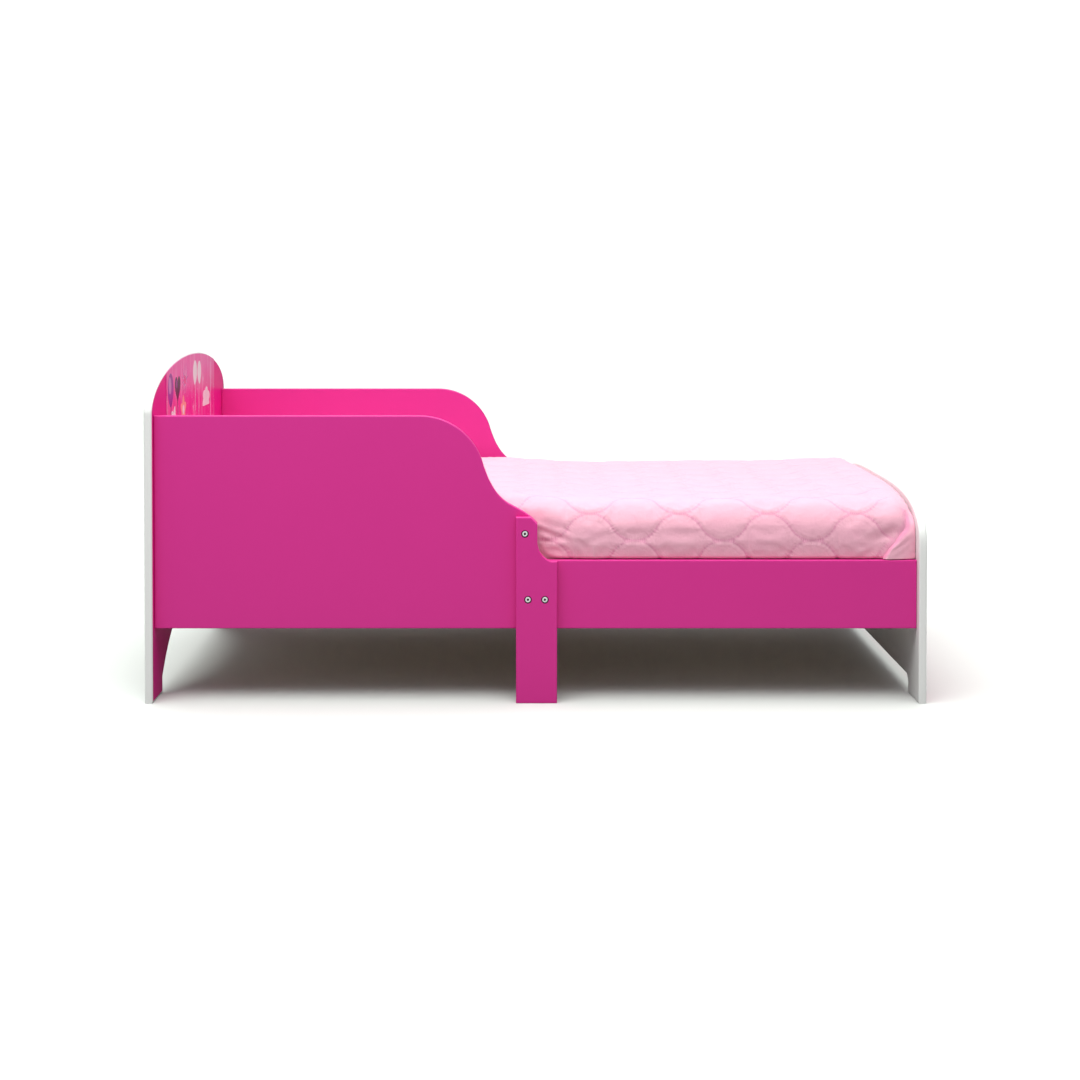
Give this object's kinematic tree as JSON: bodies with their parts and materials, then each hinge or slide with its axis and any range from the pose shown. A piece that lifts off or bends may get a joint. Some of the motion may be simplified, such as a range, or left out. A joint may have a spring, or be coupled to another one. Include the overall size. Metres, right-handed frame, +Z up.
{
  "type": "toddler bed",
  "caption": "Low child's bed with an arched headboard and footboard, side guards at the head end, centre legs, a slatted deck and a loose mattress in a quilted cover.",
  "frame": {"origin": "on the floor under the middle of the bed's box", "axes": "+X along the bed from the headboard to the footboard, +Y across it, +Z up"},
  "size_m": [1.36, 0.76, 0.593],
  "materials": {
    "white_board": "white satin lacquered board with rounded edges, pink on the face turned to the sleeper at the head",
    "pink_board": "bright pink satin lacquered board",
    "printed_sheet": null,
    "pine": "planed, unvarnished softwood",
    "bolt_steel": "zinc-plated steel",
    "mattress_foam": "foam block in a white woven ticking",
    "quilted_cloth": "pale pink brushed cotton, quilted in round shells"
  },
  "bodies": {
    "bed_frame": {"beam_nut_far_1": "bolt_steel", "beam_nut_far_2": "bolt_steel", "beam_nut_near_1": "bolt_steel", "beam_nut_near_2": "bolt_steel", "centre_beam": "pine", "centre_leg_far": "pink_board", "centre_leg_near": "pink_board", "foot_bolt_far_1": "bolt_steel", "foot_bolt_far_2": "bolt_steel", "foot_bolt_near_1": "bolt_steel", "foot_bolt_near_2": "bolt_steel", "foot_cleat": "pine", "foot_nut_far_1": "bolt_steel", "foot_nut_far_2": "bolt_steel", "foot_nut_near_1": "bolt_steel", "foot_nut_near_2": "bolt_steel", "footboard": "white_board", "footboard_print": "printed_sheet", "guard_cleat_far": "pine", "guard_cleat_near": "pine", "guard_panel_far": "pink_board", "guard_panel_near": "pink_board", "head_bolt_far_1": "bolt_steel", "head_bolt_far_2": "bolt_steel", "head_bolt_near_1": "bolt_steel", "head_bolt_near_2": "bolt_steel", "head_cleat": "pine", "head_nut_far_1": "bolt_steel", "head_nut_far_2": "bolt_steel", "head_nut_near_1": "bolt_steel", "head_nut_near_2": "bolt_steel", "headboard": "white_board", "headboard_print": "printed_sheet", "leg_bolt_far_1": "bolt_steel", "leg_bolt_far_2": "bolt_steel", "leg_bolt_far_upper": "bolt_steel", "leg_bolt_near_1": "bolt_steel", "leg_bolt_near_2": "bolt_steel", "leg_bolt_near_upper": "bolt_steel", "rail_cleat_far": "pine", "rail_cleat_near": "pine", "side_rail_far": "pink_board", "side_rail_near": "pink_board", "slat_01": "pine", "slat_02": "pine", "slat_03": "pine", "slat_04": "pine", "slat_05": "pine", "slat_06": "pine", "slat_07": "pine", "slat_08": "pine", "slat_09": "pine", "slat_10": "pine", "slat_11": "pine", "slat_12": "pine", "sleeve_nut_far": "bolt_steel", "sleeve_nut_near": "bolt_steel"},
    "mattress": {"mattress_core": "mattress_foam", "mattress_cover": "quilted_cloth"}
  },
  "joints": [
    {"name": "mattress_lift", "type": "slide", "parent": "bed_frame", "child": "mattress", "axis": [0, 0, 1], "range_m": [0, 0.42]}
  ]
}
